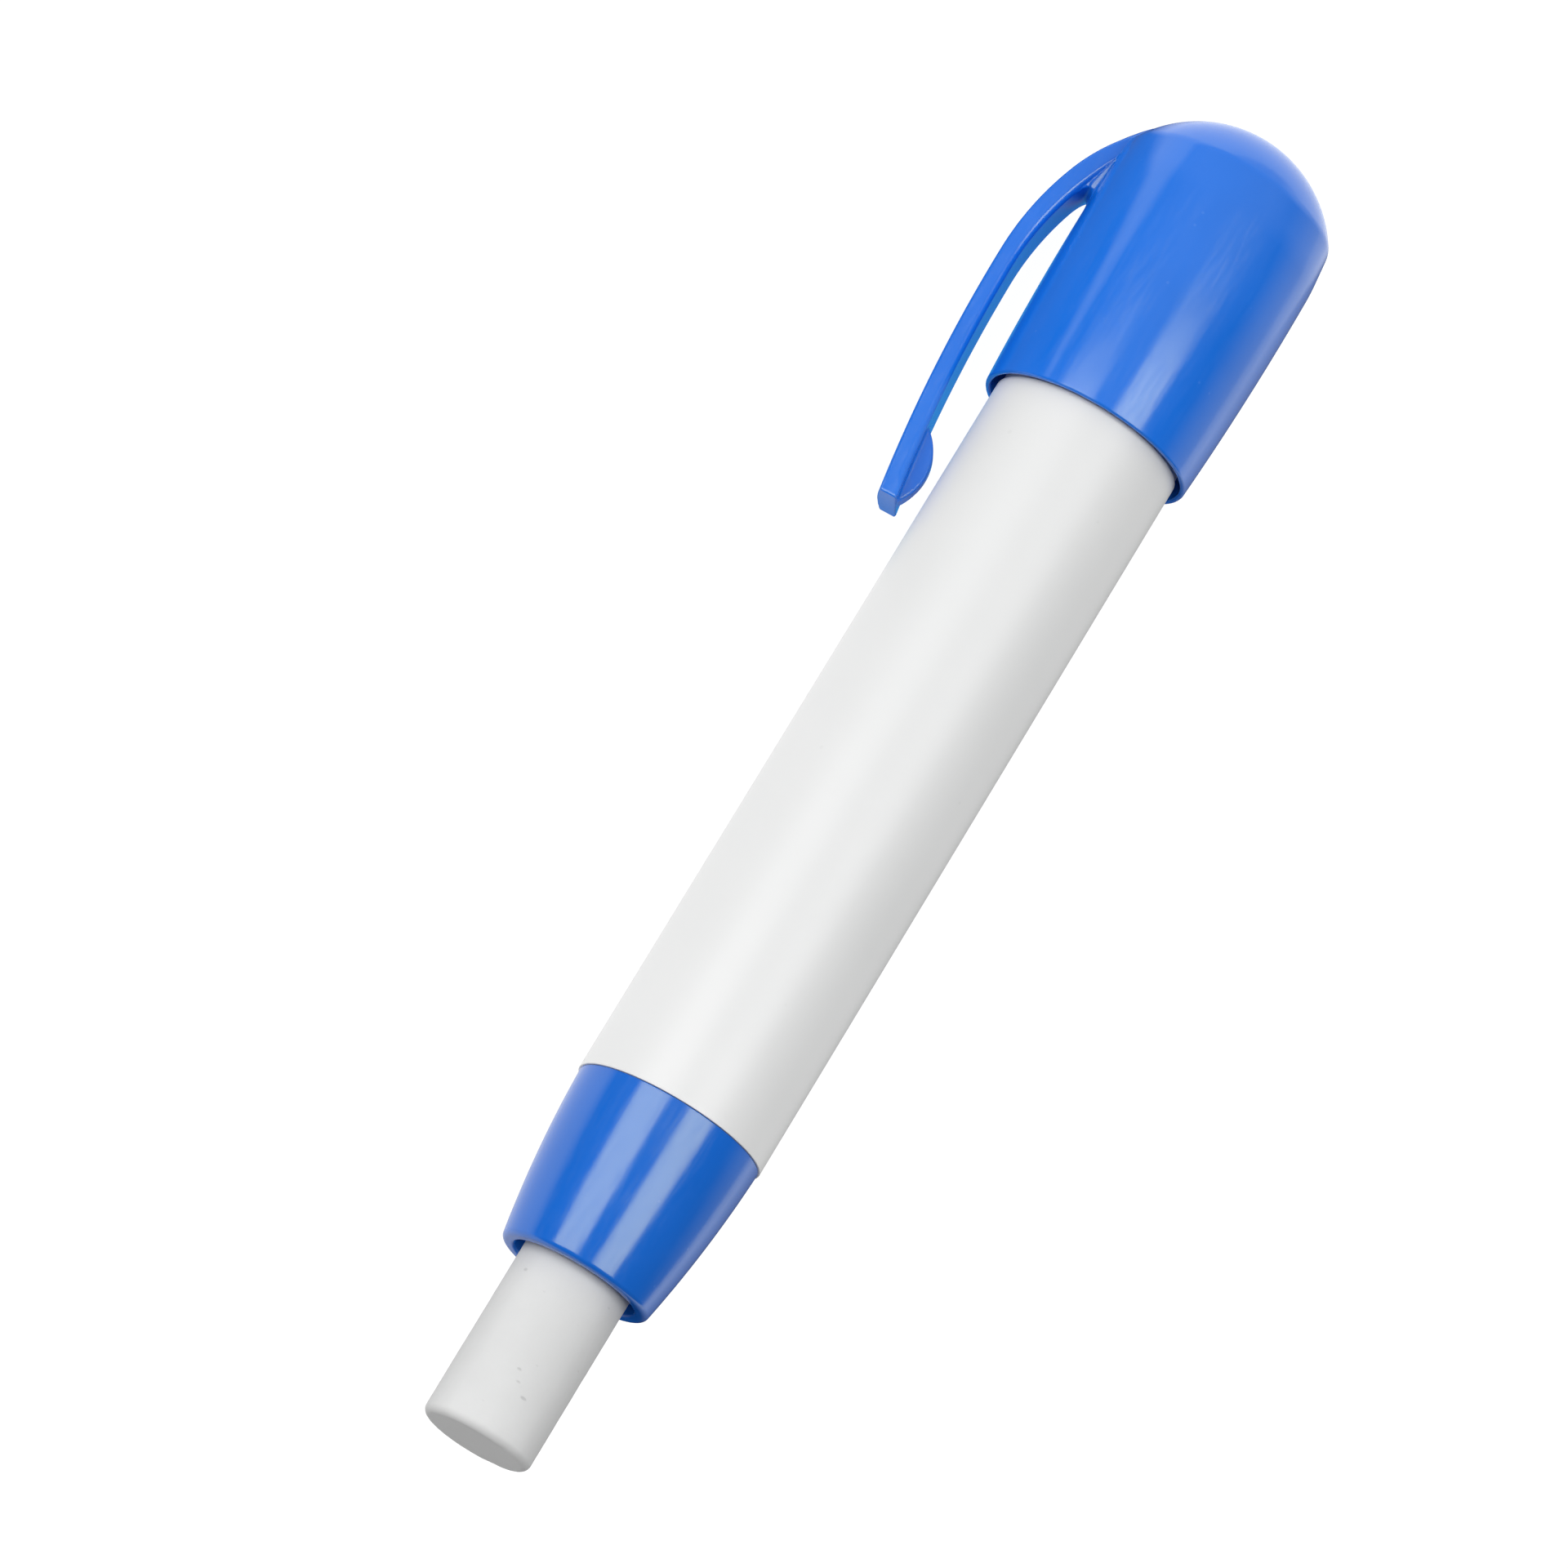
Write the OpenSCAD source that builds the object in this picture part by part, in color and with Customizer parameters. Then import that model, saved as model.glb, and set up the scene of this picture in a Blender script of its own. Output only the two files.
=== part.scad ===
// Retractable eraser in the form of a pen.
// Turning the cap turns a slotted tube, and the eraser's carrier climbs a fixed spiral.
// The axis is X, with +X towards the eraser, and the origin is halfway along the open barrel.
// The pen lies on the widest ring of its cap and on the crest of its clip.

/* [Eraser stick] */
// Diameter of the eraser stick
eraser_d = 8; // [7.4:0.1:8.6]
// Length of a new eraser stick
eraser_len = 74; // [71:0.5:77]
// How far the stick stands out of the nose as drawn
eraser_out = 12.8; // [11:0.2:15]
// Rounding of the stick's working end
eraser_edge_r = 0.5; // [0.2:0.1:1]
// Rounding of the stick's rear end
eraser_rear_r = 0.3; // [0.1:0.1:0.8]
// Diameter of the hole in the stick's rear end
eraser_hole_d = 1.9; // [1.6:0.1:2.6]
// Depth of that hole
eraser_hole_depth = 9; // [8.5:0.5:14]

/* [Barrel] */
// Length of barrel that shows between nose cone and cap
barrel_open = 56; // [52:1:60]
// Wall of the barrel
barrel_wall = 0.9; // [0.8:0.05:1.4]
// Length of barrel that is hidden in the cap
barrel_hidden = 14; // [13:0.5:15]
// How much thinner in radius the hidden neck is
neck_step = 0.2; // [0.1:0.05:0.3]
// Rounding of the barrel's front edge
barrel_edge_r = 0.15; // [0.05:0.05:0.3]

/* [Nose cone] */
// Length of the nose cone ahead of the barrel
nose_len = 12.5; // [10:0.5:16]
// Outer diameter behind the rounded lip
nose_front_d = 11.24; // [10.8:0.1:12.2]
// Radius of the arc that the side follows
nose_arc_r = 85; // [60:5:200]
// How much the nose is smaller in radius than the barrel where they meet
nose_step = 0.12; // [0.05:0.01:0.3]
// Gap around the stick in the front opening
nose_gap = 0.6; // [0.3:0.05:0.8]
// Length of the front opening's narrow land
nose_land = 3; // [1.5:0.5:6]
// Wall of the spigot inside the barrel
spigot_wall = 1; // [0.8:0.1:1.1]

/* [Cap] */
// Length of the cap from its mouth to the top of the dome
cap_len = 24.75; // [24:0.25:28]
// Gap between the cap's mouth and the barrel
cap_gap = 0.42; // [0.3:0.02:0.6]
// Thickness of the cap's lip
cap_lip = 0.38; // [0.3:0.02:0.6]
// How much the cap's radius grows from its lip to its widest ring
cap_swell = 0.38; // [0.2:0.02:0.6]
// Distance of the widest ring from the mouth
cap_wide_at = 13; // [11:0.5:15]
// Distance of the place where the wall starts to turn in from the mouth
cap_turn_at = 17; // [16:0.5:18]
// Radius of the arc between wall and dome
cap_turn_r = 17.9; // [14:0.5:25]
// Radius of the dome
dome_r = 9; // [8.8:0.1:10]
// Wall of the dome
dome_wall = 1.3; // [1:0.1:1.8]
// Depth of the wider part of the bore at the mouth
mouth_bore_depth = 6; // [4:0.5:7]

/* [Clip] */
// Width of the clip
clip_w = 4; // [3:0.2:5]
// Thickness of the free blade
clip_t = 1.45; // [1.2:0.05:1.8]
// Height of the crest over the cap's widest ring
clip_rise = 3.47; // [3.2:0.01:4.2]
// Distance of the crest from the mouth, towards the dome
clip_crest_at = 8.7; // [8:0.1:9.5]
// Radius of the arc from the crest to the free end
clip_bow_r = 122; // [90:4:162]
// Radius of the arc behind the crest
clip_shoulder_r = 22; // [19:0.5:26]
// Distance of the place where that arc ends and the root's arc starts from the mouth
clip_shoulder_at = 16.2; // [15:0.1:17.5]
// Distance of the clip's foot on the dome from the top of the dome
clip_foot_at = 3.15; // [2.6:0.05:4.2]
// How far the free end stands ahead of the mouth
clip_ahead = 10.8; // [9.6:0.1:12.5]
// Distance from the mouth over which the blade's inner face is drawn, in under the cap's wall
clip_gap_depth = 18.4; // [18:0.1:19]
// Distance of the place where the gap starts to narrow from the mouth
clip_narrow_at = 8; // [6.5:0.5:9]
// Radius of the arc by which the gap narrows
clip_narrow_r = 22.5; // [19:0.5:26]
// Radius of that face's buried end
clip_gap_end_r = 0.3; // [0.2:0.05:0.4]
// Radius of the rounded bump near the free end
bump_r = 4.1; // [3.5:0.1:4.5]
// Width of the bump
bump_w = 1.4; // [1.2:0.1:2.2]
// Distance of the bump's lowest point from the free end
bump_from_end = 2.7; // [2.4:0.1:3.4]
// Gap between the bump and the barrel
bump_gap = 0.84; // [0.6:0.01:1]

/* [Twist drive] */
// Advance of the carrier for one turn of the cap
lead = 14; // [12:0.5:14]
// Turns of the cap that draw the stick in
turns_in = 1; // [0.8:0.1:1.1]
// Turns of the cap that push the carrier fully forward
turns_out = 3; // [2.5:0.1:3.1]
// Diameter of the carrier's lugs
lug_d = 1.8; // [1.4:0.1:2]
// How far the lugs reach into the sleeve
lug_reach = 0.45; // [0.3:0.05:0.5]
// Wall of the slotted guide tube
guide_wall = 0.8; // [0.7:0.05:1]
// Wall of the spiral sleeve
sleeve_wall = 0.95; // [0.85:0.05:1.2]
// Depth of the spiral groove
groove_depth = 0.65; // [0.6:0.05:0.7]
// Length of the carrier's body
carrier_len = 6; // [4.5:0.5:7]
// Wall around the hollow in the carrier's rear
carrier_wall = 1; // [0.8:0.1:1.5]
// Length of the carrier's barbed spigot
barb_len = 8; // [6:0.5:8]
// Number of barbs on it
barb_count = 4; // [2:1:5]
// Depth of the notches between the barbs
barb_depth = 0.33; // [0.2:0.01:0.4]
// Length of the steep side of each barb
barb_tip = 0.2; // [0.1:0.05:0.3]
// Thickness of the retaining ring
ring_t = 1; // [0.8:0.1:1.4]
// How deep the retaining ring sits in the guide tube
ring_seat = 0.2; // [0.1:0.05:0.3]
// Length of the guide tube ahead of the retaining ring
guide_lip = 0.4; // [0.3:0.05:0.6]
// Thickness of the flange behind the barrel
flange_t = 1.2; // [1:0.1:1.6]
// Length of the keyed tail in the cap
tail_len = 4.2; // [3.5:0.1:4.6]
// Wall of the tail, and of the floor that closes the tube ahead of it
tail_wall = 1; // [0.8:0.1:1.4]
// Wall around the tail
socket_wall = 1.2; // [1:0.1:1.6]
// Width of the two keys on the tail
key_w = 1.6; // [1.2:0.1:2.4]
// Height of the keys
key_h = 0.5; // [0.3:0.1:0.7]
// Thickness of the rubber friction ring
rubber_d = 0.66; // [0.6:0.02:0.7]
// Distance of the friction ring from the barrel's rear end
rubber_at = 5; // [3:0.5:6]

/* [Fits] */
// Gap around the stick in the guide tube
stick_gap = 0.25; // [0.15:0.05:0.3]
// Gap around the carrier in the guide tube
carrier_gap = 0.1; // [0.05:0.01:0.15]
// Gap between guide tube and sleeve
running_gap = 0.1; // [0.05:0.01:0.15]
// Gap beside the lugs in the straight slots
slot_gap = 0.15; // [0.1:0.05:0.25]
// Gap beside the lugs in the spiral groove
groove_gap = 0.3; // [0.2:0.05:0.4]
// End play of the turning parts
end_gap = 0.1; // [0.05:0.05:0.2]
// Gap on each side of the retaining ring in its seat
ring_play = 0.05; // [0.02:0.01:0.1]
// Gap between the friction ring and the cap
rubber_gap = 0.02; // [0.01:0.01:0.05]

/* [Hidden] */
$fn = 96;
// Steps of an arc that is drawn point by point
arc_steps = 12;
// Overlap that makes cuts run clean through
cut = 1;

// Radii, from the stick outwards
eraser_r = eraser_d / 2;
guide_bore_r = eraser_r + stick_gap;
guide_r = guide_bore_r + guide_wall;
sleeve_bore_r = guide_r + running_gap;
barrel_bore_r = sleeve_bore_r + sleeve_wall;
barrel_r = barrel_bore_r + barrel_wall;
neck_r = barrel_r - neck_step;
nose_bore_r = eraser_r + nose_gap;
nose_front_r = nose_front_d / 2;
nose_rear_r = barrel_r - nose_step;
nose_lip_r = (nose_front_r - nose_bore_r) / 2;
spigot_bore_r = barrel_bore_r - spigot_wall;
mouth_bore_r = barrel_r + cap_gap;
mouth_r = mouth_bore_r + cap_lip;
cap_wide_r = mouth_r + cap_swell;
// The rubber ring sits half in the neck and stands just clear of the cap's bore
rubber_seat_r = neck_r - rubber_d / 2;
cap_bore_r = rubber_seat_r + rubber_d + rubber_gap;
rubber_centre_r = rubber_seat_r + rubber_d / 2;

// Places along the axis
barrel_front = barrel_open / 2;
mouth_at = -barrel_open / 2;
barrel_rear = mouth_at - barrel_hidden;
nose_front = barrel_front + nose_len;
stick_front = nose_front + eraser_out;
stick_rear = stick_front - eraser_len;
carrier_rear = stick_rear - carrier_len;
lug_at = stick_rear - carrier_len / 2;
travel_in = lead * turns_in;
travel_out = lead * turns_out;
slot_rear = lug_at - travel_in - lug_d / 2 - slot_gap;
sleeve_front = lug_at + travel_out + lug_d / 2 + end_gap;
ring_rear = sleeve_front + end_gap;
guide_front = ring_rear + ring_t + ring_play + guide_lip;
spigot_rear = guide_front + 2 * end_gap;
flange_front = barrel_rear - end_gap;
flange_rear = flange_front - flange_t;
tail_rear = flange_rear - tail_len;
cap_top = mouth_at - cap_len;
cap_wide_x = mouth_at - cap_wide_at;
cap_turn_x = mouth_at - cap_turn_at;
dome_centre = cap_top + dome_r;
socket_r = cap_bore_r - socket_wall;
// Arc of the cap's wall, from its mouth to its widest ring
cap_arc_r = (pow(cap_wide_at, 2) + pow(cap_swell, 2)) / (2 * cap_swell);
cap_turn_top = arc_height(cap_turn_x, cap_wide_x, cap_wide_r, cap_arc_r);

// Clip
clip_crest_r = cap_wide_r + clip_rise;
clip_crest_x = mouth_at - clip_crest_at;
clip_end = mouth_at + clip_ahead;
bump_x = clip_end - bump_from_end;
bump_low = barrel_r + bump_gap;
// The root's arc goes on smoothly from the arc behind the crest, and into the dome at the clip's foot
clip_shoulder_x = mouth_at - clip_shoulder_at;
clip_shoulder_top = arc_height(clip_shoulder_x, clip_crest_x, clip_crest_r, clip_shoulder_r);
clip_shoulder_lean = asin((clip_crest_x - clip_shoulder_x) / clip_shoulder_r);
clip_foot_x = cap_top + clip_foot_at;
clip_foot_sink = 0.1;
clip_foot_top = min(
    arc_height(clip_foot_x, cap_turn_x, cap_turn_top, cap_turn_r),
    arc_height(clip_foot_x, dome_centre, dome_r, dome_r)
) - clip_foot_sink;
clip_root_chord = [clip_foot_x - clip_shoulder_x, clip_foot_top - clip_shoulder_top];
clip_root_out = [-sin(clip_shoulder_lean), cos(clip_shoulder_lean)];
clip_root_r = clip_root_chord * clip_root_chord / (-2 * clip_root_chord * clip_root_out);
clip_root_x = clip_shoulder_x - clip_root_r * clip_root_out.x;
clip_root_top = clip_shoulder_top - clip_root_r * clip_root_out.y + clip_root_r;
// Ceiling of the gap along the free blade, where it starts to narrow, and at its buried end
clip_inner_r = clip_crest_r - clip_t;
clip_narrow_x = mouth_at - clip_narrow_at;
clip_narrow_top = arc_height(clip_narrow_x, clip_crest_x, clip_inner_r, clip_bow_r - clip_t);
clip_gap_x = mouth_at - clip_gap_depth + clip_gap_end_r;
clip_gap_top = arc_height(clip_gap_x, clip_narrow_x, clip_narrow_top, clip_narrow_r);

// Roll about the axis that puts the crest's lower edge level with the cap's widest ring
rest_roll = asin(cap_wide_r / clip_crest_r) - asin(clip_w / 2 / clip_crest_r);

// Lugs and spiral
lug_tip_r = sleeve_bore_r + lug_reach;
groove_r = sleeve_bore_r + groove_depth;
spiral_angle = atan2(lead, 360 * groove_r * PI / 180);
groove_half_angle = (lug_d / 2 + groove_gap) / cos(spiral_angle) * 360 / lead;
groove_steps = 2;
groove_slices_per_turn = 24;
carrier_r = guide_bore_r - carrier_gap;
barb_r = eraser_hole_d / 2;
barb_root_r = barb_r - barb_depth;
barb_pitch = barb_len / barb_count;
carrier_recess = (carrier_len - lug_d) / 2 - carrier_wall / 2;

// Colours
blue = [0.20, 0.46, 0.87];
white = [0.94, 0.94, 0.95];
grey = [0.70, 0.72, 0.74];
pale = [0.86, 0.88, 0.90];
vinyl = [0.97, 0.97, 0.96];
black = [0.12, 0.12, 0.12];

// Turns a half section about the pen's axis. Its x is the radius and its y is the place along X
module turned() {
    rotate([0, 90, 0]) rotate_extrude() children();
}

// A plain band of a half section, between two radii and two places
module band(r0, r1, x0, x1) {
    translate([r0, x0]) square([r1 - r0, x1 - x0]);
}

// Lays the pen on its cap and clip
module rolled() {
    rotate([rest_roll, 0, 0]) children();
}

// Height over x of the arc of radius r whose crest is at [top_x, top]
function arc_height(x, top_x, top, r) = top - r + sqrt(r * r - pow(x - top_x, 2));

// Points of that arc from x0 to x1, each as [height, x]
function arc_points(x0, x1, top_x, top, r) = [
    for (i = [0 : arc_steps])
        let (x = x0 + (x1 - x0) * i / arc_steps)
        [arc_height(x, top_x, top, r), x]
];

// The same points, each as [x, height]
function side_points(x0, x1, top_x, top, r) = [
    for (p = arc_points(x0, x1, top_x, top, r)) [p.y, p.x]
];

// Centre of the arc of radius r through p and q that bulges away from the axis
function arc_centre(p, q, r) =
    let (half = (q - p) / 2, h = sqrt(r * r - half * half), side = [-half.y, half.x] / norm(half))
    (p + q) / 2 + side * h;

module barrel() {
    color(white) rolled() turned() difference() {
        union() {
            band(0, barrel_r, mouth_at, barrel_front - barrel_edge_r);
            band(0, barrel_r - barrel_edge_r, mouth_at, barrel_front);
            translate([barrel_r - barrel_edge_r, barrel_front - barrel_edge_r])
                circle(r = barrel_edge_r);
            band(0, neck_r, barrel_rear, mouth_at);
        }
        band(0, barrel_bore_r, barrel_rear - cut, barrel_front + cut);
        translate([rubber_centre_r, barrel_rear + rubber_at]) circle(d = rubber_d);
    }
}

// The nose's solid outline: spigot, arched side and rounded lip
module nose_outline() {
    lip_x = nose_front - nose_lip_r;
    centre = arc_centre([nose_rear_r, barrel_front], [nose_front_r, lip_x], nose_arc_r);
    crest = centre.x + nose_arc_r;
    band(0, barrel_bore_r, spigot_rear, barrel_front);
    polygon(concat(
        [[0, lip_x], [0, barrel_front]],
        arc_points(barrel_front, lip_x, centre.y, crest, nose_arc_r)
    ));
    translate([nose_bore_r + nose_lip_r, lip_x]) circle(r = nose_lip_r);
}

module nose_cone() {
    land_rear = nose_front - nose_lip_r - nose_land;
    color(blue) rolled() turned() difference() {
        nose_outline();
        band(0, nose_bore_r, land_rear, nose_front + cut);
        band(0, spigot_bore_r, spigot_rear - cut, land_rear);
    }
}

// One flank-to-flank section of the spiral groove, centred on the x axis
module groove_section() {
    arc = [for (i = [-groove_steps : groove_steps]) i * groove_half_angle / groove_steps];
    inner_r = guide_bore_r;
    polygon(concat(
        [for (a = arc) groove_r * [cos(a), sin(a)]],
        [inner_r * [cos(groove_half_angle), sin(groove_half_angle)],
         inner_r * [cos(groove_half_angle), -sin(groove_half_angle)]]
    ));
}

// Both starts of the groove, in step with the lugs as drawn
module spiral_groove() {
    start = barrel_rear - cut;
    length = sleeve_front + cut - start;
    turn = 360 / lead;
    slices = ceil(length / lead * groove_slices_per_turn);
    rotate([0, 90, 0]) translate([0, 0, start]) for (side = [90, 270])
        rotate([0, 0, side + turn * (start - lug_at)])
            linear_extrude(height = length, twist = -turn * length, slices = slices, segments = 1)
                groove_section();
}

module spiral_sleeve() {
    color(grey) rolled() difference() {
        turned() band(sleeve_bore_r, barrel_bore_r, barrel_rear, sleeve_front);
        spiral_groove();
    }
}

module friction_ring() {
    color(black) rolled() turned()
        translate([rubber_centre_r, barrel_rear + rubber_at]) circle(d = rubber_d);
}

// The cap's solid outline: rounded lip, swelling wall, turn and dome
module cap_outline() {
    lip_x = mouth_at - cap_lip / 2;
    intersection() {
        polygon(concat(
            [[0, cap_top], [0, lip_x]],
            arc_points(lip_x, cap_turn_x, cap_wide_x, cap_wide_r, cap_arc_r),
            arc_points(cap_turn_x, cap_top, cap_turn_x, cap_turn_top, cap_turn_r)
        ));
        union() {
            translate([0, dome_centre]) circle(r = dome_r);
            band(0, (dome_r + cap_wide_r) / 2, dome_centre, mouth_at);
        }
    }
    translate([mouth_r - cap_lip / 2, lip_x]) circle(r = cap_lip / 2);
}

// The space inside the cap: mouth, bore for the neck, socket for the tail and hollow dome
module cap_space() {
    band(0, mouth_bore_r, mouth_at - mouth_bore_depth, mouth_at + cut);
    band(0, cap_bore_r, flange_rear, mouth_at - mouth_bore_depth);
    band(0, socket_r, tail_rear, flange_rear);
    intersection() {
        band(0, socket_r - key_h, cap_top, tail_rear);
        translate([0, dome_centre]) circle(r = dome_r - dome_wall);
    }
}

// The two keys of the tail, each grown by a gap where they cut the socket
module tail_keys(grow) {
    width = key_w + 2 * grow;
    across = 2 * (socket_r + key_h + grow);
    translate([tail_rear, -width / 2, -across / 2]) cube([tail_len, width, across]);
}

// Half section under the clip's outer face: a long arc ahead of the crest, two short ones behind it
module clip_cover() {
    polygon(concat(
        [[0, clip_end], [0, clip_foot_x]],
        arc_points(clip_foot_x, clip_shoulder_x, clip_root_x, clip_root_top, clip_root_r),
        arc_points(clip_shoulder_x, clip_crest_x, clip_crest_x, clip_crest_r, clip_shoulder_r),
        arc_points(clip_crest_x, clip_end, clip_crest_x, clip_crest_r, clip_bow_r)
    ));
}

// Side view of the clip. x runs along the pen and y is the distance from its axis
module clip_side() {
    difference() {
        translate([clip_foot_x, 0]) square([clip_end - clip_foot_x, clip_crest_r + cut]);
        clip_gap();
    }
}

// Side view of the space under the clip. It ends where it goes in under the cap's wall
module clip_gap() {
    end_centre = [clip_gap_x, clip_gap_top - clip_gap_end_r];
    polygon(concat(
        [for (i = [0 : arc_steps]) let (a = 270 - 180 * i / arc_steps)
            end_centre + clip_gap_end_r * [cos(a), sin(a)]],
        side_points(clip_gap_x, clip_narrow_x, clip_narrow_x, clip_narrow_top, clip_narrow_r),
        side_points(clip_narrow_x, clip_end + cut, clip_crest_x, clip_inner_r, clip_bow_r - clip_t),
        [[clip_end + cut, 0], [clip_gap_x, 0]]
    ));
}

// Side view of the bump under the clip's free end, up into the blade
module bump_side() {
    intersection() {
        translate([bump_x, bump_low + bump_r]) circle(r = bump_r);
        polygon(concat(
            [[clip_end, 0], [bump_x - bump_r, 0]],
            side_points(bump_x - bump_r, clip_end, clip_crest_x, clip_crest_r - clip_t / 2, clip_bow_r)
        ));
    }
}

module clip() {
    intersection() {
        mirror([0, 1, 0]) linear_extrude(height = clip_w, center = true) clip_side();
        turned() clip_cover();
    }
    mirror([0, 1, 0]) linear_extrude(height = bump_w, center = true) bump_side();
}

module cap() {
    color(blue) rolled() difference() {
        union() {
            turned() cap_outline();
            clip();
        }
        turned() cap_space();
        tail_keys(running_gap / 2);
    }
}

module guide_tube() {
    color(pale) rolled() difference() {
        union() {
            turned() difference() {
                union() {
                    band(0, guide_r, flange_front, guide_front);
                    band(0, neck_r, flange_rear, flange_front);
                    band(0, socket_r, tail_rear, flange_rear);
                }
                band(0, guide_bore_r, flange_front, guide_front + cut);
                band(guide_r - ring_seat, guide_r + cut, ring_rear - ring_play,
                    ring_rear + ring_t + ring_play);
                band(0, socket_r - tail_wall, tail_rear - cut, flange_front - tail_wall);
            }
            difference() {
                tail_keys(0);
                turned() band(0, socket_r, tail_rear - cut, flange_rear + cut);
            }
        }
        guide_slots();
    }
}

// The two straight slots, open at the front so that the carrier can be slid in
module guide_slots() {
    width = lug_d + 2 * slot_gap;
    round_at = slot_rear + width / 2;
    across = 2 * (guide_r + cut);
    translate([round_at, -across / 2, -width / 2])
        cube([guide_front + cut - round_at, across, width]);
    translate([round_at, 0, 0]) rotate([90, 0, 0]) cylinder(h = across, d = width, center = true);
}

module retaining_ring() {
    outer_r = barrel_bore_r - 2 * running_gap;
    color(grey) rolled() turned()
        band(guide_r - ring_seat, outer_r, ring_rear, ring_rear + ring_t);
}

// Half section of the barbed spigot that holds the stick
module barbs() {
    for (i = [0 : barb_count - 1]) {
        base = stick_rear + i * barb_pitch;
        polygon([
            [0, base], [barb_root_r, base], [barb_r, base + barb_tip],
            [barb_root_r, base + barb_pitch], [0, base + barb_pitch]
        ]);
    }
}

module carrier() {
    color(grey) rolled() difference() {
        union() {
            turned() {
                band(0, carrier_r, carrier_rear, stick_rear);
                barbs();
            }
            translate([lug_at, 0, 0]) rotate([90, 0, 0])
                cylinder(h = 2 * lug_tip_r, d = lug_d, center = true);
        }
        turned() band(0, carrier_r - carrier_wall, carrier_rear - cut, carrier_rear + carrier_recess);
    }
}

module eraser_stick() {
    color(vinyl) rolled() turned() difference() {
        union() {
            band(0, eraser_r, stick_rear + eraser_rear_r, stick_front - eraser_edge_r);
            band(0, eraser_r - eraser_edge_r, stick_front - cut, stick_front);
            band(0, eraser_r - eraser_rear_r, stick_rear, stick_rear + cut);
            translate([eraser_r - eraser_edge_r, stick_front - eraser_edge_r])
                circle(r = eraser_edge_r);
            translate([eraser_r - eraser_rear_r, stick_rear + eraser_rear_r])
                circle(r = eraser_rear_r);
        }
        band(0, eraser_hole_d / 2, stick_rear - cut, stick_rear + eraser_hole_depth);
    }
}

barrel();
nose_cone();
spiral_sleeve();
friction_ring();
cap();
guide_tube();
retaining_ring();
carrier();
eraser_stick();
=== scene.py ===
"""Looks for the retractable eraser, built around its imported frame.

Meshes are worked out in millimetres in the pen's own frame, with the axis along X, the eraser towards +X
and the clip towards -Y. They are then rolled as the part lies, and scaled to metres.
"""

import math

import bpy
import numpy as np
from mathutils import Matrix, Vector, noise


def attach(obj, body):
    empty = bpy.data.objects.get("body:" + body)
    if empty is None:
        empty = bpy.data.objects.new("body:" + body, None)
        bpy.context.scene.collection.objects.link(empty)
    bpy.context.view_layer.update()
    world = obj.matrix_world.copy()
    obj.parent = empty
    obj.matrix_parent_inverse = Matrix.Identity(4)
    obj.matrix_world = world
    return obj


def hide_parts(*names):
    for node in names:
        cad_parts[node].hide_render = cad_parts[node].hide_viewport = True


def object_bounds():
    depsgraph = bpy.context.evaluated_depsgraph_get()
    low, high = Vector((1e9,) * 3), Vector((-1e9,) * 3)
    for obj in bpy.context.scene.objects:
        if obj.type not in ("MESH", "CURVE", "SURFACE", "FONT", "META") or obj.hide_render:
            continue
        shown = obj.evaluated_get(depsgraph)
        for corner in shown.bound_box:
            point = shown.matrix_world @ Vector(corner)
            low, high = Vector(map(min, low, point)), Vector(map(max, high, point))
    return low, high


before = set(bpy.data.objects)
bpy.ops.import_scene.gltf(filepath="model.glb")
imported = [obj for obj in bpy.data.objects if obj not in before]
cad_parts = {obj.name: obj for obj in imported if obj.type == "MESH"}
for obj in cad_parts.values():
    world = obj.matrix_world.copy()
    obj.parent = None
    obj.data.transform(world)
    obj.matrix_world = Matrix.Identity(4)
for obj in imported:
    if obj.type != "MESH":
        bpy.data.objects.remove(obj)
cad_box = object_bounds()

MM = 0.001

# Places along the axis, as in the part's source
BARREL_FRONT = 28.0
MOUTH = -28.0
BARREL_REAR = -42.0
SPIGOT_REAR = 21.1
NOSE_FRONT = 40.5
STICK_FRONT = 53.3
STICK_REAR = -20.7
CAP_TOP = -52.75
DOME_CENTRE = -43.75

# Radii, as in the part's source
BARREL_R = 7.0
BARREL_BORE_R = 6.1
NECK_R = 6.8
NOSE_REAR_R = 6.88
NOSE_FRONT_R = 5.62
NOSE_BORE_R = 4.6
NOSE_ARC_R = 85.0
SPIGOT_BORE_R = 5.1
STICK_R = 4.0
HOLE_R = 0.95
DOME_R = 9.0
CAP_WIDE_R = 8.18
CREST_R = 11.65

# Small lengths of the barrel, nose and eraser
NECK_GAP = 0.2
JOINT_GAP = 0.02
NOSE_LAND = 3.5
NOSE_ROUND = 0.51
HOLE_DEPTH = 9.0
WORN_LENGTH = 2.0

# Wall of the cap and its turn towards the dome
SWELL = 0.38
WIDE_X = MOUTH - 13.0
TURN_X = MOUTH - 18.6
TURN_R = 8.01
TURN_SLOPE = math.radians(6.0)
TURN_BLEND = 0.06
DOME_BLEND = 0.11
LIP_EDGE_R = 0.17
HOLLOW_EDGE_R = 0.12

# Hollow of the cap
MOUTH_BORE_R = 7.42
MOUTH_BORE_END = MOUTH - 6.0
NECK_BORE_R = 7.16
NECK_BORE_END = -43.3
SOCKET_R = 5.96
SOCKET_END = -47.5
HOLLOW_R = 7.7
HOLLOW_SIDE_R = 5.45
HOLLOW_FRONT = -47.0
KEY_HALF_W = 0.85
KEY_REACH = 6.51
KEY_FRONT = -43.0

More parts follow.
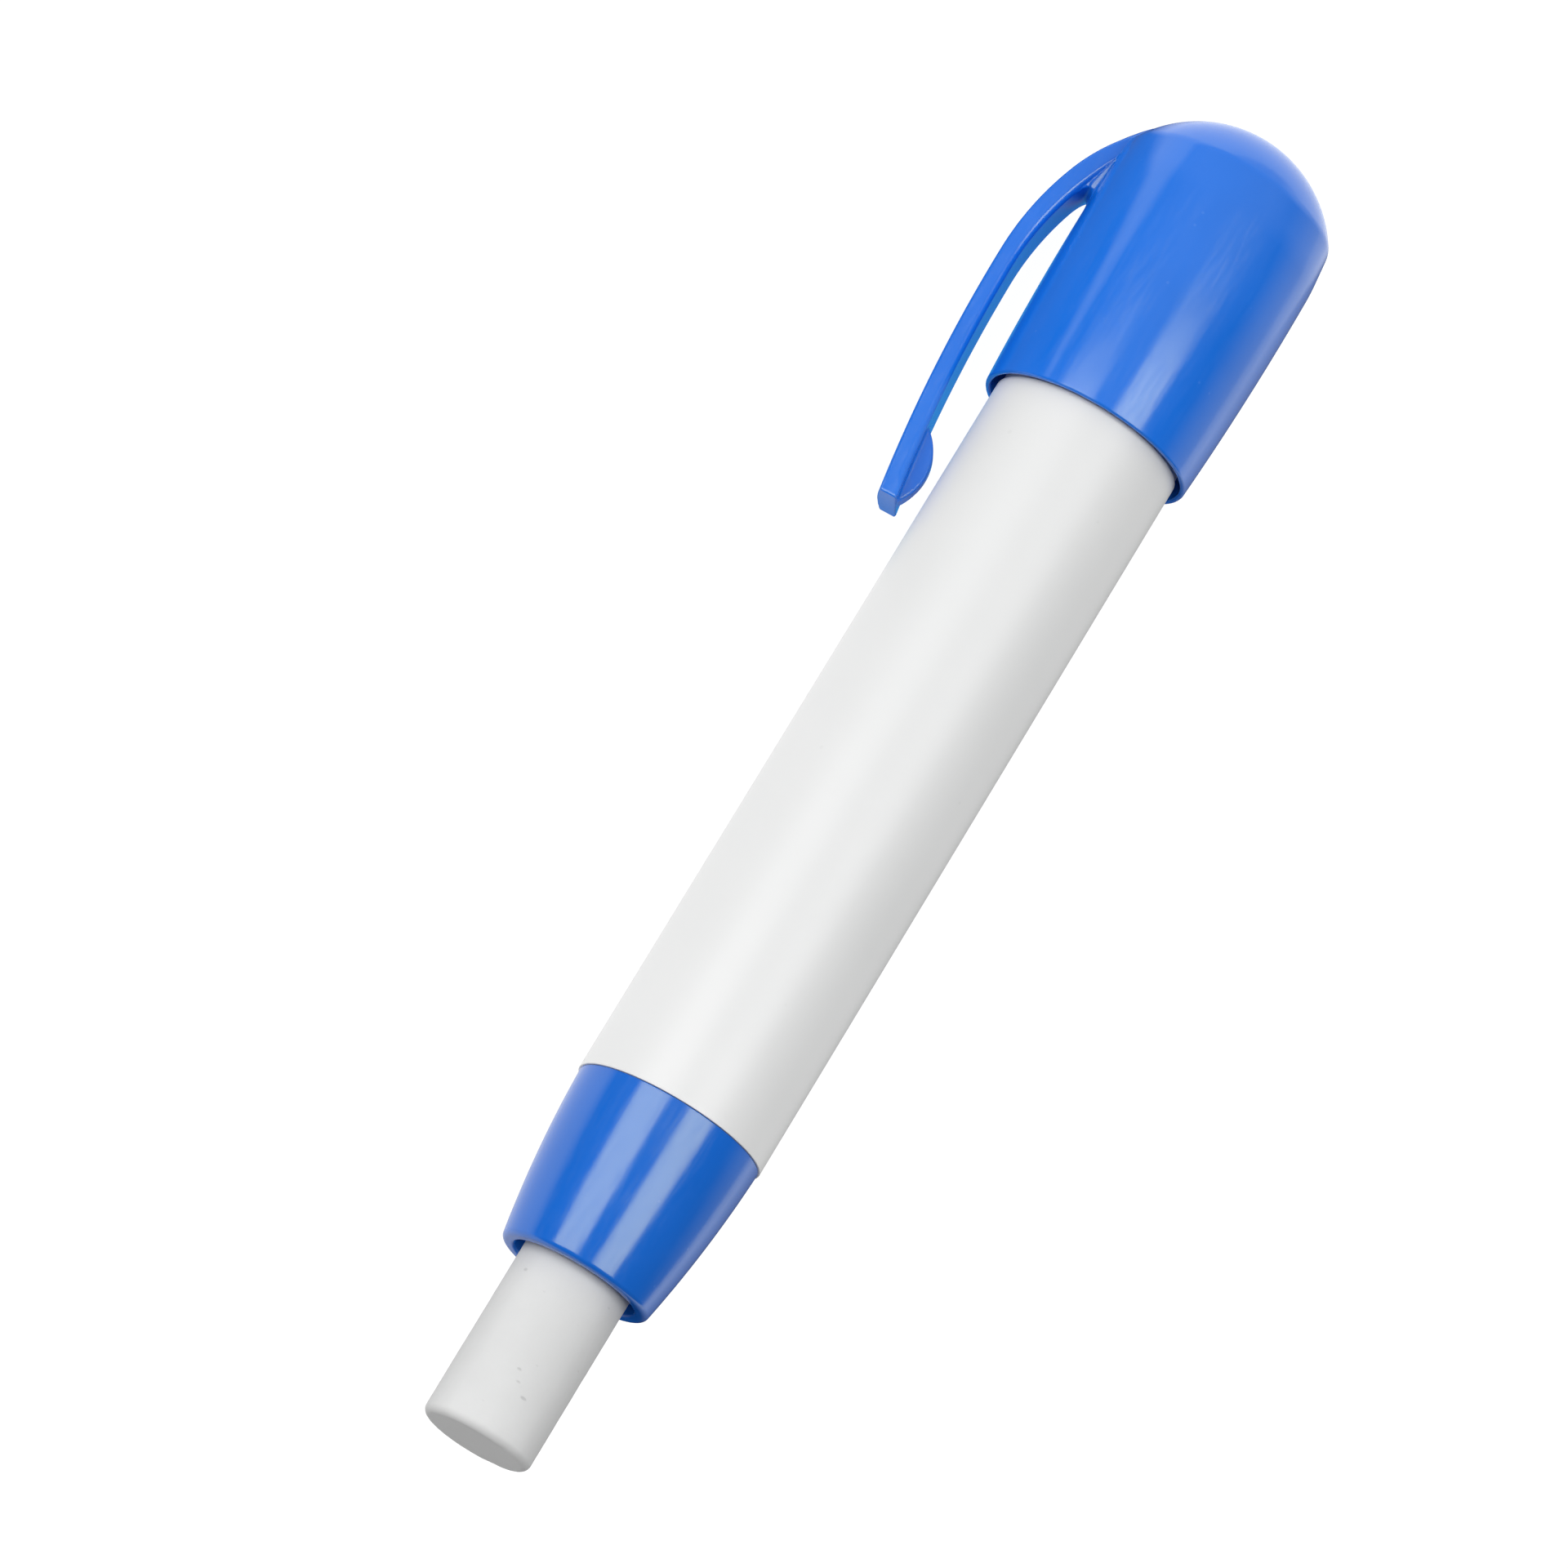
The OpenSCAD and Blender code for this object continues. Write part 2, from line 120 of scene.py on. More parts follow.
# Clip, seen from its side: a long bow, a shoulder and a root that curves out onto the dome
CLIP_W = 4.0
CREST_X = MOUTH - 8.7
CLIP_END = MOUTH + 10.8
BOW_R = 122.0
SHOULDER_R = 22.6
SHOULDER_X = MOUTH - 16.2
SHOULDER_LEAN = math.asin((CREST_X - SHOULDER_X) / SHOULDER_R)
SHOULDER_TOP = CREST_R - SHOULDER_R * (1 - math.cos(SHOULDER_LEAN))
ROOT_R = 13.4
ROOT_X = SHOULDER_X + ROOT_R * math.sin(SHOULDER_LEAN)
ROOT_TOP = SHOULDER_TOP + ROOT_R * (1 - math.cos(SHOULDER_LEAN))
FOOT_X = CAP_TOP + 3.3

# Gap under the clip
BLADE = 1.45
GAP_END_X = MOUTH - 18.4
GAP_END_R = 0.3
NARROW_X = MOUTH - 8.0
NARROW_R = 21.6

# Edges of the clip, which are sharper towards its end
SHARPER = (CLIP_END - 1.8, CLIP_END - 0.6)
END_FACE = 0.03
CORNER_R = 0.14
OUTER_EDGE_R = 0.2
INNER_EDGE_R = 0.46
END_EDGE_R = 0.1

# Bump under the clip's end
BUMP_X = CLIP_END - 2.7
BUMP_R = 4.1
BUMP_LOW = BARREL_R + 0.84
BUMP_W = 1.4
BUMP_INSET = 0.12
BUMP_DRAFT = 0.22
BUMP_DRAFT_FROM = 1.2

# Fillets where the clip runs out into the cap, each growing from the first place to the second
FILLET_R = 0.08
WEB_R = 0.5
WEB_MORE_R = 0.7
WEB_ALONG = (-48.6, -46.8)
WEB_ACROSS = (1.98, 1.6)
FLARE_R = 0.9
FLARE_FRONT = (-43.5, -46.0)
FLARE_REAR = (-49.6, -47.6)
FLARE_ACROSS = (1.9, 2.6)

# Skin of the cap
SKIN_LOW = (-53.3, -12.4, -8.8)
SKIN_HIGH = (-16.6, 8.8, 8.8)
SKIN_CELL = 0.14

# The pen lies on the widest ring of its cap and the lower edge of its clip's crest
ROLL = math.asin(CAP_WIDE_R / CREST_R) - math.asin(CLIP_W / 2 / CREST_R)
ROLLED = Matrix.Rotation(ROLL, 3, "X")
TO_ROW = ROLLED.to_4x4() @ Matrix.Scale(MM, 4)


# Meshes

def new_piece(name, verts, faces, body, slot, *nodes):
    """A mesh object from points in the pen's frame, riding on a body and standing for CAD nodes."""
    mesh = bpy.data.meshes.new(name)
    mesh.from_pydata([TO_ROW @ Vector(v) for v in verts], [], faces)
    mesh.validate()
    mesh.shade_smooth()
    piece = bpy.data.objects.new(name, mesh)
    bpy.context.scene.collection.objects.link(piece)
    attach(piece, body)
    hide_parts(*nodes)
    return piece


def crease(piece, angle=50):
    """Sharp edges where two faces turn by more than the angle, in degrees."""
    piece.data.set_sharp_from_angle(angle=math.radians(angle))


def rounded(corners, steps=7):
    """The closed loop through corners (x, r, fillet), with an arc of that radius at each corner."""
    loop = []
    count = len(corners)
    for i, (x, r, fillet) in enumerate(corners):
        here = np.array((x, r))
        if fillet <= 0:
            loop.append(here)
            continue
        before = np.array(corners[i - 1][:2]) - here
        after = np.array(corners[(i + 1) % count][:2]) - here
        before /= np.linalg.norm(before)
        after /= np.linalg.norm(after)
        half = math.acos(np.clip(before @ after, -1, 1)) / 2
        centre = here + (before + after) / np.linalg.norm(before + after) * fillet / math.sin(half)
        start = here + before * fillet / math.tan(half) - centre
        end = here + after * fillet / math.tan(half) - centre
        turn = math.atan2(start[0] * end[1] - start[1] * end[0], start @ end)
        for k in range(steps + 1):
            a = turn * k / steps
            c, s = math.cos(a), math.sin(a)
            loop.append(centre + (c * start[0] - s * start[1], s * start[0] + c * start[1]))
    return loop


def dense(loop, spacing, margin=0.06):
    """The loop with more points on its long sides, and one close to each of their ends."""
    out = []
    for i, p in enumerate(loop):
        q = loop[(i + 1) % len(loop)]
        out.append(p)
        side = q - p
        length = np.linalg.norm(side)
        if length < 4 * margin:
            continue
        inner = length - 2 * margin
        count = max(1, round(inner / spacing))
        for k in range(count + 1):
            out.append(p + side * (margin + inner * k / count) / length)
    return out


def lathe(loop, steps=168):
    """Points and faces of the closed solid that the loop of (x, r) sweeps round the axis."""
    verts, faces, rings = [], [], []
    for x, r in loop:
        if r < 1e-6:
            rings.append([len(verts)])
            verts.append((x, 0.0, 0.0))
            continue
        rings.append(list(range(len(verts), len(verts) + steps)))
        for k in range(steps):
            a = 2 * math.pi * k / steps
            verts.append((x, r * math.sin(a), r * math.cos(a)))
    for i, ring in enumerate(rings):
        other = rings[(i + 1) % len(rings)]
        if len(ring) == 1 and len(other) == 1:
            continue
        for k in range(steps):
            j = (k + 1) % steps
            face = [ring[k % len(ring)], other[k % len(other)], other[j % len(other)], ring[j % len(ring)]]
            faces.append(list(dict.fromkeys(face)))
    return verts, faces


# Fields: each is the distance to a solid, negative inside

def cut_round(a, b, r):
    """Where both a and b hold, with the edge between them rounded to radius r."""
    p, q = np.maximum(a + r, 0), np.maximum(b + r, 0)
    return np.minimum(np.maximum(a, b), -r) + np.hypot(p, q)


def join_round(a, b, r):
    """Where a or b holds, with a fillet of radius r between them."""
    p, q = np.maximum(r - a, 0), np.maximum(r - b, 0)
    return np.maximum(np.minimum(a, b), r) - np.hypot(p, q)


def cut_soft(a, b, k):
    """Where both a and b hold, for surfaces that meet at a shallow angle."""
    h = np.maximum(k - np.abs(a - b), 0) / k
    return np.maximum(a, b) + h * h * k / 4


def disc(x, y, cx, cy, r):
    """A disc of radius r about (cx, cy)."""
    return np.hypot(x - cx, y - cy) - r


def ease(x, start, full):
    """0 up to start, 1 from full on, and a smooth step between them."""
    t = np.clip((x - start) / (full - start), 0, 1)
    return t * t * (3 - 2 * t)


def cap_wall(x, rho):
    """The cap's swelling wall, its turn towards the dome and the dome, as one outline."""
    arc_r = ((MOUTH - WIDE_X) ** 2 + SWELL ** 2) / (2 * SWELL)
    wall = disc(x, rho, WIDE_X, CAP_WIDE_R - arc_r, arc_r)
    turn = (rho - TURN_R) * math.cos(TURN_SLOPE) + (TURN_X - x) * math.sin(TURN_SLOPE)
    dome = np.where(x < DOME_CENTRE, disc(x, rho, DOME_CENTRE, 0.0, DOME_R), rho - DOME_R)
    return cut_soft(cut_soft(wall, turn, TURN_BLEND), dome, DOME_BLEND)


def cap_hollow(x, y, z, rho):
    """The mouth, the bore for the neck, the keyed socket and the hollow dome."""
    mouth = np.maximum(rho - MOUTH_BORE_R, MOUTH_BORE_END - x)
    bore = np.maximum(rho - NECK_BORE_R, NECK_BORE_END - x)
    socket = np.maximum(rho - SOCKET_R, SOCKET_END - x)
    ball = np.sqrt((x - DOME_CENTRE) ** 2 + rho ** 2) - HOLLOW_R
    dome = np.maximum(np.maximum(ball, rho - HOLLOW_SIDE_R), x - HOLLOW_FRONT)
    slot = np.maximum(np.abs(y) - KEY_HALF_W, np.abs(z) - KEY_REACH)
    keys = np.maximum(slot, np.maximum(SOCKET_END - x, x - KEY_FRONT))
    return np.minimum(np.minimum(np.minimum(mouth, bore), np.minimum(socket, dome)), keys)


def clip_ceiling(x):
    """Height of the gap's ceiling over the axis: the blade's inner face, falling to the closed end."""
    inner = BOW_R - BLADE
    bow = CREST_R - BLADE - inner + np.sqrt(inner ** 2 - (np.maximum(x, NARROW_X) - CREST_X) ** 2)
    into = np.clip(NARROW_X - x, 0, 0.9 * NARROW_R)
    return bow - NARROW_R + np.sqrt(NARROW_R ** 2 - into ** 2)


def clip_gap(x, w):
    """The gap under the blade, open towards the barrel and rounded at its closed end."""
    step = 1e-3
    lean = (clip_ceiling(x + step) - clip_ceiling(x - step)) / (2 * step)
    ceiling = (w - clip_ceiling(x)) / np.sqrt(1 + lean ** 2)
    return cut_round(ceiling, GAP_END_X - x, GAP_END_R)


def clip_bump(x, z, w):
    """The half-moon bump under the clip's end, a little wider towards the blade."""
    moon = disc(x, w, BUMP_X, BUMP_LOW + BUMP_R, BUMP_R)
    ends = np.maximum(w - clip_ceiling(x) - BLADE / 2, x - CLIP_END + BUMP_INSET)
    sides = np.abs(z) - BUMP_W / 2 - BUMP_DRAFT * (w - BUMP_LOW - BUMP_DRAFT_FROM)
    return cut_round(np.maximum(moon, ends), sides, CORNER_R)


def clip_field(x, y, z, rho):
    """The clip: crowned outer face, flat sides, and the gap under it cut out."""
    w = -y
    bow = disc(x, rho, CREST_X, CREST_R - BOW_R, BOW_R)
    shoulder = disc(x, rho, CREST_X, CREST_R - SHOULDER_R, SHOULDER_R)
    root = disc(x, rho, ROOT_X, ROOT_TOP - ROOT_R, ROOT_R)
    cover = np.where(x > CREST_X, bow, np.where(x > SHOULDER_X, shoulder, root))
    near_end = ease(x, *SHARPER)
    outer_edge = OUTER_EDGE_R + (END_EDGE_R - OUTER_EDGE_R) * near_end
    inner_edge = INNER_EDGE_R + (END_EDGE_R - INNER_EDGE_R) * near_end
    plan = cut_round(np.abs(z) - CLIP_W / 2, x - CLIP_END - END_FACE, CORNER_R)
    blade = cut_round(cover, plan, outer_edge)
    blade = cut_round(blade, -clip_gap(x, w), inner_edge)
    blade = join_round(blade, clip_bump(x, z, w), CORNER_R)
    return np.maximum(np.maximum(blade, -w), FOOT_X - x)


def root_fillet(x, aside):
    """Fillet between clip and cap: a web in the gap's closed end, and a flare beside the root."""
    web = FILLET_R + (WEB_R + WEB_MORE_R * ease(x, *WEB_ALONG)) * ease(aside, *WEB_ACROSS)
    flare = FLARE_R * ease(x, *FLARE_FRONT) * ease(x, *FLARE_REAR) * ease(aside, *FLARE_ACROSS)
    return web + flare


def cap_field(p):
    """The cap with its clip, hollow and open at the mouth."""
    x, y, z = p[..., 0], p[..., 1], p[..., 2]
    rho = np.hypot(y, z)
    solid = cut_round(cap_wall(x, rho), x - MOUTH, LIP_EDGE_R)
    solid = join_round(solid, clip_field(x, y, z, rho), root_fillet(x, np.abs(z)))
    return cut_round(solid, -cap_hollow(x, y, z, rho), HOLLOW_EDGE_R)


# Skins: the surface of a field as a mesh

def slope_of(field, points, step=2e-3):
    """The field's slope at each point."""
    out = np.empty_like(points)
    for i in range(3):
        d = np.zeros(3)
        d[i] = step
        out[:, i] = (field(points + d) - field(points - d)) / (2 * step)
    return out


def settled(field, points):
    """The points moved along the field's slope onto its surface."""
    for _ in range(4):
        slope = slope_of(field, points)
        points = points - (field(points) / np.maximum((slope * slope).sum(1), 0.25))[:, None] * slope
    return points


def sampled(field, axes):
    """The field's values on the grid of the three axes, worked out one slice at a time."""
    y, z = np.meshgrid(axes[1], axes[2], indexing="ij")
    return np.array([field(np.stack([np.full_like(y, x), y, z], -1)) for x in axes[0]])


def crossings(values, a):
    """The grid's edges along axis a that cross the surface: first ends, places in cells, and if inwards."""
    b, c = (a + 1) % 3, (a + 2) % 3
    near, far = [slice(None)] * 3, [slice(None)] * 3
    near[a], far[a] = slice(0, -1), slice(1, None)
    start, end = values[tuple(near)], values[tuple(far)]
    at = np.argwhere((start < 0) != (end < 0))
    last_b, last_c = values.shape[b] - 1, values.shape[c] - 1
    at = at[(at[:, b] > 0) & (at[:, c] > 0) & (at[:, b] < last_b) & (at[:, c] < last_c)]
    start, end = start[tuple(at.T)], end[tuple(at.T)]
    place = at.astype(float)
    place[:, a] += start / (start - end)
    return at, place, end < 0


def neighbour_middle(points, quads):
    """The middle of the points that follow each point round its faces."""
    total = np.zeros_like(points)
    hits = np.zeros(len(points))
    for i in range(4):
        here, following = quads[:, i], quads[:, (i + 1) % 4]
        np.add.at(total, here, points[following])
        np.add.at(hits, here, 1)
    return total / hits[:, None]


def skin(field, low, high, cell, rounds=4):
    """Points, faces and normals of the field's surface: one point in each crossed cell, eased onto it."""
    low, high = np.array(low, float), np.array(high, float)
    count = np.ceil((high - low) / cell).astype(int) + 1
    values = sampled(field, [low[i] + cell * np.arange(count[i]) for i in range(3)])
    shape = tuple(count - 1)
    total = np.zeros(shape + (3,))
    hits = np.zeros(shape)
    faces = []
    for a in range(3):
        at, place, inwards = crossings(values, a)
        corners = []
        for back_b, back_c in ((0, 0), (1, 0), (1, 1), (0, 1)):
            cells = at.copy()
            cells[:, (a + 1) % 3] -= back_b
            cells[:, (a + 2) % 3] -= back_c
            key = tuple(cells.T)
            np.add.at(total, key, low + cell * place)
            np.add.at(hits, key, 1)
            corners.append(np.ravel_multi_index(key, shape))
        quad = np.stack(corners, 1)
        quad[inwards] = quad[inwards][:, ::-1]
        faces.append(quad)
    used, quads = np.unique(np.concatenate(faces), return_inverse=True)
    quads = quads.reshape(-1, 4)
    points = settled(field, total.reshape(-1, 3)[used] / hits.reshape(-1)[used][:, None])
    for _ in range(rounds):
        points = settled(field, points + 0.6 * (neighbour_middle(points, quads) - points))
    normals = slope_of(field, points)
    normals /= np.linalg.norm(normals, axis=1)[:, None]
    return points, quads, normals


# Camera, at the photograph's viewing angle

TILT = math.radians(15.7)
IMAGE_ANGLE = math.radians(58.5686)
SIDE_ROLL = math.radians(9.37)
TARGET_X = 3.95
TARGET_ASIDE = 5.18
CAMERA_DISTANCE = 600
LENS = 205
SENSOR = 36

ACROSS = Vector((0, math.cos(SIDE_ROLL), -math.sin(SIDE_ROLL)))
FACING = Vector((0, math.sin(SIDE_ROLL), math.cos(SIDE_ROLL)))
TOWARDS_CAP = Vector((-1, 0, 0))


def add_camera():
    """The camera, turned so that the pen's axis runs as in the photograph."""
    back = ROLLED @ (FACING * math.cos(TILT) - TOWARDS_CAP * math.sin(TILT))
    axis_on_screen = ROLLED @ (TOWARDS_CAP * math.cos(TILT) + FACING * math.sin(TILT))
    across_screen = ROLLED @ ACROSS
    right = axis_on_screen * math.cos(IMAGE_ANGLE) + across_screen * math.sin(IMAGE_ANGLE)
    up = axis_on_screen * math.sin(IMAGE_ANGLE) - across_screen * math.cos(IMAGE_ANGLE)
    target = Vector((TARGET_X, 0, 0)) - across_screen * TARGET_ASIDE
    place = (target + back * CAMERA_DISTANCE) * MM
    data = bpy.data.cameras.new("camera")
    data.sensor_width = SENSOR
    data.lens = LENS
    data.clip_start = 0.05
    camera = bpy.data.objects.new("camera", data)
    bpy.context.scene.collection.objects.link(camera)
    turn = Matrix((right, up, back)).transposed()
    camera.matrix_world = Matrix.Translation(place) @ turn.to_4x4()
    bpy.context.scene.camera = camera


add_camera()


# Materials

def material(name):
    """A new material with its node tree and its shader."""
    made = bpy.data.materials.new(name)
    made.use_nodes = True
    tree = made.node_tree
    shader = tree.nodes["Principled BSDF"]
    return made, tree, shader


def node(tree, kind, **inputs):
    """A new node with values for its inputs, named with _ for each space."""
    made = tree.nodes.new(kind)
    for key, value in inputs.items():
        made.inputs[key.replace("_", " ")].default_value = value
    return made


def place_of(tree):
    """Coordinates that stay with the piece, in metres."""
    return tree.nodes.new("ShaderNodeTexCoord").outputs["Object"]


def stretched(tree, vector, scale):
    """The coordinates times a scale for each axis."""
    made = tree.nodes.new("ShaderNodeMapping")
    made.inputs["Scale"].default_value = scale
    tree.links.new(vector, made.inputs["Vector"])
    return made.outputs["Vector"]


def noise_of(tree, vector, scale, detail=4.0, roughness=0.55):
    """Soft noise about 0.5, with so many waves to a metre."""
    made = node(tree, "ShaderNodeTexNoise", Scale=scale, Detail=detail, Roughness=roughness)
    tree.links.new(vector, made.inputs["Vector"])
    return made.outputs["Fac"]


def ranged(tree, value, low, high, to_low, to_high):
    """The value carried from low and high to to_low and to_high, and held beyond them."""
    made = tree.nodes.new("ShaderNodeMapRange")
    made.inputs["From Min"].default_value = low
    made.inputs["From Max"].default_value = high
    made.inputs["To Min"].default_value = to_low
    made.inputs["To Max"].default_value = to_high
    tree.links.new(value, made.inputs["Value"])
    return made.outputs["Result"]


def blended(tree, factor, first, second):
    """The first colour where the factor is 0, and the second where it is 1."""
    made = tree.nodes.new("ShaderNodeMix")
    made.data_type = "RGBA"
    tree.links.new(factor, made.inputs["Factor"])
    for socket, value in ((made.inputs["A"], first), (made.inputs["B"], second)):
        if isinstance(value, tuple):
            socket.default_value = value + (1.0,)
        else:
            tree.links.new(value, socket)
    return made.outputs["Result"]


def combined(tree, operation, first, second):
    """A sum, product or the like of two values, each a number or another node's output."""
    made = tree.nodes.new("ShaderNodeMath")
    made.operation = operation
    for i, value in enumerate((first, second)):
        if isinstance(value, (int, float)):
            made.inputs[i].default_value = value
        else:
            tree.links.new(value, made.inputs[i])
    return made.outputs["Value"]


def band(tree, value, low, full_from, full_to, high):
    """1 from full_from to full_to, falling to 0 at low and at high."""
    rise = ranged(tree, value, low, full_from, 0, 1)
    fall = ranged(tree, value, full_to, high, 1, 0)
    return combined(tree, "MULTIPLY", rise, fall)


def bumped(tree, shader, height, strength, distance):
    """The shader's surface made uneven by the height."""
    made = node(tree, "ShaderNodeBump", Strength=strength, Distance=distance)
    tree.links.new(height, made.inputs["Height"])
    tree.links.new(made.outputs["Normal"], shader.inputs["Normal"])


def specks_of(tree, vector, scale, size):
    """1 in small scattered spots, else 0."""
    cells = node(tree, "ShaderNodeTexVoronoi", Scale=scale, Randomness=1.0)
    tree.links.new(vector, cells.inputs["Vector"])
    spot = ranged(tree, cells.outputs["Distance"], size, size * 0.6, 0, 1)
    chosen = tree.nodes.new("ShaderNodeSeparateColor")
    tree.links.new(cells.outputs["Color"], chosen.inputs["Color"])
    few = ranged(tree, chosen.outputs["Red"], 0.80, 0.83, 0, 1)
    return combined(tree, "MULTIPLY", spot, few)


def blue_plastic(name, painted_shade):
    """Glossy blue moulding. Its colour is scaled by the given factor; below 1 it makes a darker copy, which
    is painted shade.
    """
    made, tree, shader = material(name)
    at = place_of(tree)
    cloud = noise_of(tree, at, scale=90, detail=3)
    grain = noise_of(tree, at, scale=2600, detail=2)
    scratch = noise_of(tree, stretched(tree, at, (0.12, 1.0, 1.0)), scale=3200, detail=2, roughness=0.7)
    dark = (0.004 * painted_shade, 0.149 * painted_shade, 0.700 * painted_shade)
    light = (0.008 * painted_shade, 0.163 * painted_shade, 0.745 * painted_shade)
    base = blended(tree, ranged(tree, cloud, 0.35, 0.65, 0, 1), dark, light)
    dust = specks_of(tree, at, scale=900, size=0.12)
    base = blended(tree, combined(tree, "MULTIPLY", dust, 0.12), base, (0.16, 0.34, 0.80))
    tree.links.new(base, shader.inputs["Base Color"])
    rough = ranged(tree, scratch, 0.42, 0.72, 0.15, 0.25)
    tree.links.new(rough, shader.inputs["Roughness"])
    shader.inputs["IOR"].default_value = 1.65
    shader.inputs["Specular Tint"].default_value = (0.95, 1.0, 0.50, 1.0)
    height = combined(tree, "ADD", cloud, combined(tree, "MULTIPLY", grain, 0.03))
    bumped(tree, shader, height, strength=0.25, distance=0.1 * MM)
    return made


def white_plastic():
    """Satin white moulding with a few grey specks of dust."""
    made, tree, shader = material("white_plastic")
    at = place_of(tree)
    cloud = noise_of(tree, at, scale=60, detail=3)
    grain = noise_of(tree, at, scale=3200, detail=2)
    base = blended(tree, ranged(tree, cloud, 0.3, 0.7, 0, 1), (0.742, 0.746, 0.744), (0.768, 0.770, 0.768))
    dust = specks_of(tree, at, scale=420, size=0.08)
    base = blended(tree, combined(tree, "MULTIPLY", dust, 0.16), base, (0.55, 0.56, 0.55))
    tree.links.new(base, shader.inputs["Base Color"])
    rough = ranged(tree, grain, 0.35, 0.65, 0.34, 0.42)
    tree.links.new(rough, shader.inputs["Roughness"])
    height = combined(tree, "ADD", cloud, combined(tree, "MULTIPLY", grain, 0.04))
    bumped(tree, shader, height, strength=0.2, distance=0.1 * MM)
    return made


def eraser_vinyl():
    """Matte white vinyl with smudges and nicks, and painted shade: greyer where it turns away from view."""
    made, tree, shader = material("eraser_vinyl")
    at = place_of(tree)
    cloud = noise_of(tree, at, scale=160, detail=5)
    grain = noise_of(tree, at, scale=4200, detail=3, roughness=0.7)
    nick = specks_of(tree, stretched(tree, at, (1.0, 0.45, 0.7)), scale=1300, size=0.17)
    smudge = ranged(tree, noise_of(tree, at, scale=420, detail=6, roughness=0.7), 0.62, 0.74, 0, 1)
    base = blended(tree, ranged(tree, cloud, 0.35, 0.7, 0, 1), (0.672, 0.674, 0.672), (0.710, 0.712, 0.710))
    base = blended(tree, combined(tree, "MULTIPLY", smudge, 0.10), base, (0.48, 0.48, 0.48))
    base = blended(tree, combined(tree, "MULTIPLY", nick, 0.4), base, (0.36, 0.36, 0.36))
    # Painted shade: the colour greys towards the outline, where the surface turns away from view.
    painted_edge_shade = node(tree, "ShaderNodeLayerWeight", Blend=0.5).outputs["Facing"]
    base = blended(tree, ranged(tree, painted_edge_shade, 0.25, 1.0, 0, 1), base, (0.53, 0.53, 0.53))
    tree.links.new(base, shader.inputs["Base Color"])
    rough = ranged(tree, grain, 0.3, 0.7, 0.72, 0.86)
    tree.links.new(rough, shader.inputs["Roughness"])
    shader.inputs["Specular IOR Level"].default_value = 0.3
    swell = combined(tree, "MULTIPLY", cloud, 0.5)
    height = combined(tree, "ADD", combined(tree, "MULTIPLY", grain, 0.16), swell)
    height = combined(tree, "SUBTRACT", height, combined(tree, "MULTIPLY", nick, 0.4))
    bumped(tree, shader, height, strength=0.5, distance=0.1 * MM)
    return made


def plain_moulding(name, dark, light, rough_low, rough_high):
    """A moulding of one plain colour with a fine grain."""
    made, tree, shader = material(name)
    at = place_of(tree)
    cloud = noise_of(tree, at, scale=150, detail=3)
    grain = noise_of(tree, at, scale=2400, detail=3)
    tree.links.new(blended(tree, cloud, dark, light), shader.inputs["Base Color"])
    tree.links.new(ranged(tree, grain, 0.35, 0.65, rough_low, rough_high), shader.inputs["Roughness"])
    bumped(tree, shader, grain, strength=0.3, distance=0.05 * MM)
    return made


# The nose's darker copy is painted shade, for the dimmer light on the nose.
CAP_BLUE = blue_plastic("cap_blue", painted_shade=1.0)
NOSE_BLUE_SHADED = blue_plastic("nose_blue_shaded", painted_shade=0.84)
WHITE = white_plastic()
VINYL = eraser_vinyl()
INNER = plain_moulding("inner_moulding", (0.52, 0.54, 0.56), (0.64, 0.66, 0.68), 0.42, 0.58)
RUBBER = plain_moulding("black_rubber", (0.018, 0.018, 0.018), (0.040, 0.040, 0.042), 0.55, 0.75)


# Pieces

def add_cap():
    """The cap and its clip in one skin, which takes its normals from the field."""
    points, quads, normals = skin(cap_field, SKIN_LOW, SKIN_HIGH, SKIN_CELL)
    cap = new_piece("cap_shell", points.tolist(), quads.tolist(), "cap_body", "blue_shell", "cap")
    cap.data.normals_split_custom_set_from_vertices([ROLLED @ Vector(n) for n in normals])
    cap.data.materials.append(CAP_BLUE)


def add_barrel():
    """The white tube, with its thinner neck inside the cap."""
    loop = dense(rounded([
        (BARREL_FRONT, BARREL_BORE_R, 0.08),
        (BARREL_FRONT, BARREL_R, 0.05),
        (MOUTH - NECK_GAP, BARREL_R, 0.08),
        (MOUTH - NECK_GAP, NECK_R, 0.05),
        (BARREL_REAR, NECK_R, 0.12),
        (BARREL_REAR, BARREL_BORE_R, 0.08),
    ]), 2.0)
    barrel = new_piece("barrel_tube", *lathe(loop), "barrel_body", "white_shell", "barrel")
    crease(barrel)
    barrel.data.materials.append(WHITE)


def nose_side(x):
    """Radius of the nose's side at x, on its long arc."""
    p = np.array((BARREL_FRONT, NOSE_REAR_R))
    q = np.array((NOSE_FRONT - NOSE_ROUND, NOSE_FRONT_R))
    half = (q - p) / 2
    side = np.array((half[1], -half[0])) / np.linalg.norm(half)
    centre = (p + q) / 2 + side * math.sqrt(NOSE_ARC_R ** 2 - half @ half)
    return centre[1] + math.sqrt(NOSE_ARC_R ** 2 - (x - centre[0]) ** 2)


